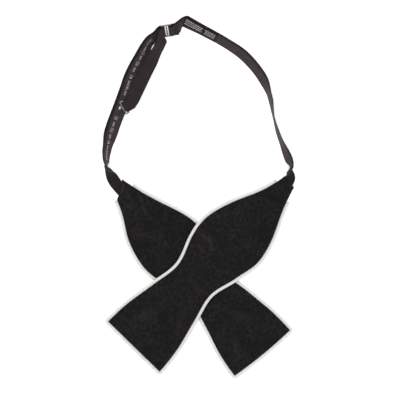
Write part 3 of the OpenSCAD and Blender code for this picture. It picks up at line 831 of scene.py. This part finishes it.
def piping(blade):
    """Satin cover over its cord, slightly uneven, with the small strains of bias cloth, tapered into the neck."""
    path, along = piping_path(blade)
    s, lat = path[:, 0], path[:, 1]
    points = blade.world(s, lat, np.full_like(s, PIPING_R))
    ends = np.minimum(along, along[-1] - along)
    taper = 0.62 + 0.38 * ease(np.clip(ends / 0.0035, 0, 1))
    waver = 1 + 0.025 * mottle(np.stack([along, along * 0, along * 0], axis=-1), 0.006, 2.0 if blade.drape else 9.0)
    radius = (PIPING_R - 0.00006) * taper * np.minimum(waver, 1.02)
    segments = 18
    a = np.linspace(0, 2 * math.pi, segments, endpoint=False)[None, :]
    phase = along[:, None] / 0.0021 * 2 * math.pi
    strain = mottle(np.stack([along, along * 0 + 0.5, along * 0], axis=-1), 0.009, 4.0)[:, None]
    ripple = 0.000035 * np.sin(phase + 2 * a) * (0.6 + 0.6 * strain) - 0.00002
    verts, faces, uv = tube(points, radius, segments, ripple)
    # the uv's second place becomes the distance round from the side facing the blade, where the satin is painted with
    # shade
    middle = blade.world(s, lat * 0, np.full_like(s, PIPING_R))
    inward = unit(middle - points)
    ring = (verts[: len(points) * segments].reshape(-1, segments, 3) - points[:, None]) / PIPING_R
    ditch = np.arccos(np.clip(np.einsum("ijk,ik->ij", ring, inward), -1, 1)) * PIPING_R
    uv[: ditch.size, 1] = ditch.ravel()
    piece = new_object(f"{blade.key}_piping_satin", verts, faces, [SATIN], blade.body, uv)
    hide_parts(f"{blade.key}_piping_cover")
    return piece


def stitch_arc(start, end, up, rise, radius=0.00017):
    """One thread between two points, arched along up."""
    t = np.linspace(0, 1, 9)[:, None]
    path = start + (end - start) * t + up * (rise * np.sin(math.pi * t) - 0.4 * radius)
    verts, faces, _ = tube(path, radius * (0.55 + 0.45 * np.sin(math.pi * t[:, 0])) , 8)
    return verts, faces


def neck_tack(blade, height):
    """Bar tack across the neck, over the ribbon's end inside: a close row of short threads."""
    rng = np.random.default_rng(5 if blade.drape else 6)
    parts = []
    for k in range(-9, 10):
        lat = k * 0.00052 + rng.uniform(-0.00008, 0.00008)
        ends = blade.start(lat / value_at(PROFILE, 0.0)) + [0.0008, 0.0032] + rng.uniform(-0.0002, 0.0002, 2)
        half = value_at(PROFILE, ends)
        q = lat / half
        z = height(ends, np.array([lat, lat]), q, half * (1 - np.abs(q))) + CLOTH_T / 2
        a, b = blade.world(ends, np.array([lat, lat]), z)
        parts.append(stitch_arc(a, b, np.array([0, 0, 1.0]), 0.00022, 0.00014))
    verts, faces = joined(parts)
    piece = new_object(f"{blade.key}_neck_tack_threads", verts, faces, [BLACK_THREAD], blade.body)
    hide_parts(f"{blade.key}_neck_tack")
    return piece


def build_blade(blade):
    high, low = face_height(blade), lining_height(blade)
    s, lat, _, edge = blade.grid()
    lift = settled(blade, s, lat, edge)
    face, area = cloth_panel(f"{blade.key}_face_cloth", blade, high, FACE_CLOTH, CLOTH_T, lift)
    lining, _ = cloth_panel(f"{blade.key}_lining_cloth", blade, low, LINING_CLOTH, CLOTH_T * 0.9)
    cover = piping(blade)
    tack = neck_tack(blade, high)
    for piece, node, slot in ((face, "face", "barathea"), (lining, "lining", "lining")):
        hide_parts(f"{blade.key}_blade_{node}")
    flat = (2 * END_HALF + 0.0006, float(blade.end(0) - min(blade.neck)))
    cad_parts[f"{blade.key}_blade_interlining"].data.materials.clear()
    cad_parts[f"{blade.key}_blade_interlining"].data.materials.append(WOOL)
    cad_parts[f"{blade.key}_piping_cord"].data.materials.clear()
    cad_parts[f"{blade.key}_piping_cord"].data.materials.append(COTTON)


# ---------- band ----------

LEFT_STRIP, RIGHT_STRIP = Strip(left_ribbon()), Strip(right_ribbon())
# half widths of the slots and places across the ribbon, both as shares of its half width
SLOT_HALF, PRONG_SLOT_HALF = 0.04, 0.15
HALF_ACROSS = np.array([SLOT_HALF, PRONG_SLOT_HALF, 0.28, 0.44, 0.62, 0.8, 0.9, 0.965, 1])
ACROSS = np.concatenate([-HALF_ACROSS[::-1], HALF_ACROSS])
SLOT_LENGTH, PRONG_SLOT_LENGTH = 0.004, 0.0032


def band(name, strip, slots, prong_slot, seed, body):
    """The ribbon as a woven strip with thicker selvedges, slightly wavy edges and its slots cut through."""
    s = np.linspace(0, strip.length, int(strip.length / 0.0005))
    centre, width, normal, half = strip.sample(s)
    u = ACROSS[None, :]
    wave = mottle(np.stack([s, s * 0, s * 0], axis=-1), 0.009, seed)[:, None] * np.sign(u)
    wave = wave + mottle(np.stack([s, s * 0 + 2, s * 0], axis=-1), 0.016, seed)[:, None]
    free = ease(np.clip((half - 0.0058) / 0.0002, 0, 1))[:, None]
    up = 0.00014 * wave * u**2 * free
    out = half[:, None] * u + 0.00010 * wave * np.abs(u) ** 3 * free
    middle = centre[:, None] + width[:, None] * out[..., None] + normal[:, None] * up[..., None]
    thick = np.where(np.abs(u) > 0.88, BAND_T, 0.00052) + np.zeros_like(up)
    keep = np.ones((len(s) - 1, len(ACROSS) - 1), bool)
    row, col = (s[1:] + s[:-1]) / 2, (ACROSS[1:] + ACROSS[:-1]) / 2
    for place in slots:
        keep[np.ix_(np.abs(row - place) < SLOT_LENGTH / 2, np.abs(col) < SLOT_HALF)] = False
    if prong_slot is not None:
        keep[np.ix_(np.abs(row - prong_slot) < PRONG_SLOT_LENGTH / 2, np.abs(col) < PRONG_SLOT_HALF)] = False
    normals = np.broadcast_to(normal[:, None], middle.shape)
    verts, faces, where, sides = shell(middle, normals, thick, keep)
    flat = np.stack(np.broadcast_arrays(s[:, None], u * BAND_W / 2), axis=-1).reshape(-1, 2)[where]
    piece = new_object(name, verts, faces, [BAND_REVERSE, BAND_FACE], body, flat, sides)
    return piece


def nearest(strip, point):
    s = np.linspace(0, strip.place(60), 2000)
    return float(s[np.argmin(np.linalg.norm(strip.sample(s)[0][:, :2] - point[:2], axis=1))])


def patch(strip, start, end, low, high, lift, thick, step=0.0006):
    """A raised patch on a ribbon's reverse, between two places along it and two across it."""
    a = np.linspace(start, end, max(3, int((end - start) / step)))
    b = np.linspace(low, high, 3)
    grid = np.stack(np.broadcast_arrays(a[:, None], b[None, :], lift), axis=-1)
    middle = strip.lay(grid.reshape(-1, 3), 0).reshape(len(a), 3, 3)
    normal = np.broadcast_to(strip.sample(a)[2][:, None], middle.shape)
    verts, faces, _, _ = shell(middle, normal, thick)
    return verts, faces


def figure(strip, text, place, height):
    """A size figure woven into the reverse, read along the ribbon."""
    curve = bpy.data.curves.new("figure", "FONT")
    curve.body, curve.size, curve.extrude, curve.offset = text, height, 0.00005, 0.00006
    curve.align_x, curve.align_y, curve.resolution_u = "CENTER", "CENTER", 3
    ob = bpy.data.objects.new("figure", curve)
    bpy.context.scene.collection.objects.link(ob)
    me = ob.evaluated_get(bpy.context.evaluated_depsgraph_get()).to_mesh()
    co = np.array([v.co for v in me.vertices])
    faces = [list(p.vertices) for p in me.polygons]
    bpy.data.objects.remove(ob)
    bpy.data.curves.remove(curve)
    narrow = 0.7 if len(text) > 2 else 0.95
    verts = strip.lay(co * [-narrow, -1, 1] + [0, 0, BAND_T / 2 - 0.00003], place)
    return verts, faces


def size_figures():
    """Figures, plain dashes, and the light threads that bind each slot's long edges."""
    parts = []
    for number, text in FIGURES:
        parts.append(figure(LEFT_STRIP, text, LEFT_STRIP.place(number), 0.0039))
    surface = BAND_T / 2 - 0.00003
    for number in DASHES:
        at = LEFT_STRIP.place(number)
        parts.append(patch(LEFT_STRIP, at - 0.0017, at + 0.0017, -0.00035, 0.00035, surface, 0.00014))
    for number in SLOTS:
        at = LEFT_STRIP.place(number)
        for side in (-1, 1):
            low, high = sorted((side * 0.0003, side * 0.00062))
            parts.append(patch(LEFT_STRIP, at - 0.0021, at + 0.0021, low, high, surface, 0.00016))
    verts, faces = joined(parts)
    piece = new_object("woven_size_figures", verts, faces, [MARK_THREAD], LEFT)
    piece.data.polygons.foreach_set("use_smooth", [False] * len(piece.data.polygons))
    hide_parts("size_marks")
    return piece


def stitch_row(strip, centre, count, gap, length, along, seed, lift=BAND_T / 2):
    """Threads in a row across a ribbon's reverse, or along it, each a little uneven."""
    rng = np.random.default_rng(seed)
    parts = []
    for k in range(count):
        lat = (k - (count - 1) / 2) * gap + rng.uniform(-1, 1) * 0.00006
        reach = length / 2 * rng.uniform(0.88, 1.08)
        ends = [[-reach, lat, lift], [reach, lat, lift]] if along else [[0, lat - reach, lift], [0, lat + reach, lift]]
        a, b = strip.lay(np.array(ends), centre)
        up = strip.sample(centre)[2][0]
        parts.append(stitch_arc(a, b, up, 0.00016, 0.00013))
    return parts


def band_stitches():
    """Stitching of the ribbon's two folded ends."""
    end = RIGHT_STRIP.place(0)
    face = -BAND_T / 2
    parts = []
    for x in (0.0008, 0.0016):
        for a, b in ((x, 1), (x + 0.0004, 2)):
            parts += stitch_row(RIGHT_STRIP, end + a, 8, 0.0014, 0.0010, False, b, face)
    flipped = [(v, [f[::-1] for f in fs]) for v, fs in parts]
    verts, faces = joined(flipped)
    loop = new_object("loop_end_threads", verts, faces, [BLACK_THREAD], RIGHT)
    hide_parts("loop_stitching")
    first_hook = len(route_frames(LEFT_ROUTE)) + 9 + len(route_frames(TAIL_ROUTE))
    at = LEFT_STRIP.place(first_hook)
    parts = stitch_row(LEFT_STRIP, at - 0.0012, 12, 0.00066, 0.0019, True, 3, face)
    verts, faces = joined(parts)
    tail = new_object("tail_end_threads", verts, faces, [BLACK_THREAD], LEFT)
    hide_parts("tail_stitching")
    return loop, tail


def label():
    """Woven label on the right band's reverse: a dark strip with folded ends and rows of plain neutral marks."""
    first = len(right_ribbon()) - len(route_frames(RIGHT_ROUTE))
    start, end = RIGHT_STRIP.place(first + LABEL[0]) - 0.004, RIGHT_STRIP.place(first + LABEL[1]) + 0.0004
    s = np.linspace(start, end, 70)
    across = np.linspace(-0.0043, 0.0043, 11)
    ends = np.minimum(s - start, end - s)
    thick = np.where(ends < 0.0012, 0.0004, 0.0003)[:, None] * np.ones((1, 11))
    lift = BAND_T / 2 + LABEL_GAP + 0.00015 + 0.00005 * np.sin(s / 0.0031)[:, None] * (across / 0.0043)[None, :] ** 2
    grid = np.stack(np.broadcast_arrays(s[:, None], across[None, :], lift), axis=-1)
    middle = RIGHT_STRIP.lay(grid.reshape(-1, 3), 0).reshape(70, 11, 3)
    normal = np.broadcast_to(RIGHT_STRIP.sample(s)[2][:, None], middle.shape)
    verts, faces, where, _ = shell(middle, normal, thick)
    flat = grid[..., :2].reshape(-1, 2)[where]
    strip = new_object("label_cloth", verts, faces, [LABEL_GROUND], RIGHT, flat)
    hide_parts("woven_label")
    rng = np.random.default_rng(12)
    parts = []
    surface = BAND_T / 2 + LABEL_GAP + 0.00031
    for block_start, block_end in ((start + 0.0012, start + 0.0185), (start + 0.0212, end - 0.0016)):
        for row in (-0.0019, 0.0001, 0.0021):
            s = block_start + rng.uniform(0, 0.0006)
            while s < block_end - 0.0008:
                run = rng.uniform(0.0007, 0.0019)
                tall = rng.uniform(0.00042, 0.00068)
                parts.append(patch(RIGHT_STRIP, s, min(s + run, block_end), row - tall, row + tall, surface, 0.00012))
                s += run + rng.uniform(0.0004, 0.0007)
    verts, faces = joined(parts)
    marks = new_object("label_marks", verts, faces, [MARK_THREAD], RIGHT)
    parts = []
    for place in (start + 0.0006, end - 0.0006):
        parts += stitch_row(RIGHT_STRIP, place, 6, 0.0014, 0.0010, False, 4, BAND_T / 2 + LABEL_GAP + 0.00035)
    verts, faces = joined(parts)
    sewn = new_object("label_threads", verts, faces, [BLACK_THREAD], RIGHT)
    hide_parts("label_stitching")
    return strip, marks, sewn


def build_bands():
    prong_slot = nearest(LEFT_STRIP, HOOK_AT + PRONG_X * HOOK_X)
    slots = [LEFT_STRIP.place(n) for n in SLOTS]
    left = band("left_ribbon", LEFT_STRIP, slots, prong_slot, 21.0, LEFT)
    right = band("right_ribbon", RIGHT_STRIP, [], None, 35.0, RIGHT)
    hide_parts("left_band")
    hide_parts("right_band")
    figures = size_figures()
    loop, tail = band_stitches()
    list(label())


def plate_hardware():
    for node in ("joining_slide", "size_hook"):
        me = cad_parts[node].data
        me.materials.clear()
        me.materials.append(NICKEL)


# ---------- stage, light and camera ----------

def build_stage():
    me = bpy.data.meshes.new("card")
    size = 1.6
    me.from_pydata([(-size, -size, 0), (size, -size, 0), (size, size, 0), (-size, size, 0)], [], [(0, 1, 2, 3)])
    me.materials.append(CARD)
    card = bpy.data.objects.new("card", me)
    card.location.z = -0.00015
    bpy.context.scene.collection.objects.link(card)


def soft_light(name, place, size, power, colour):
    data = bpy.data.lights.new(name, "AREA")
    data.shape, data.size, data.energy, data.color = "SQUARE", size, power, colour
    ob = bpy.data.objects.new(name, data)
    ob.location = place
    ob.rotation_euler = (-Vector(place)).to_track_quat("-Z", "Y").to_euler()
    bpy.context.scene.collection.objects.link(ob)


def build_light():
    world = bpy.data.worlds.new("studio")
    world.use_nodes = True
    world.node_tree.nodes["Background"].inputs["Color"].default_value = rgba(1.0, 1.0, 1.0)
    world.node_tree.nodes["Background"].inputs["Strength"].default_value = 0.75
    bpy.context.scene.world = world
    soft_light("key", (-0.5, 1.0, 1.9), 1.6, 16, (1.0, 0.955, 0.91))
    soft_light("fill", (0.7, -1.1, 1.7), 1.6, 9, (0.84, 0.93, 1.0))


def build_camera():
    """Straight above, with the picture's upper side towards +Y."""
    data = bpy.data.cameras.new("camera")
    data.sensor_width, data.lens = 36, 148.8
    data.clip_start, data.clip_end = 0.05, 20
    ob = bpy.data.objects.new("camera", data)
    ob.location = (0.0018, -0.0032, 1.5)
    bpy.context.scene.collection.objects.link(ob)
    bpy.context.scene.camera = ob
    view = bpy.context.scene.view_settings
    view.view_transform, view.look = "Standard", "None"
    view.exposure, view.gamma = 0.0, 1.0


build_camera()
build_stage()
build_light()
build_blade(UNDER)
build_blade(OVER)
build_bands()
plate_hardware()

bpy.context.view_layer.update()
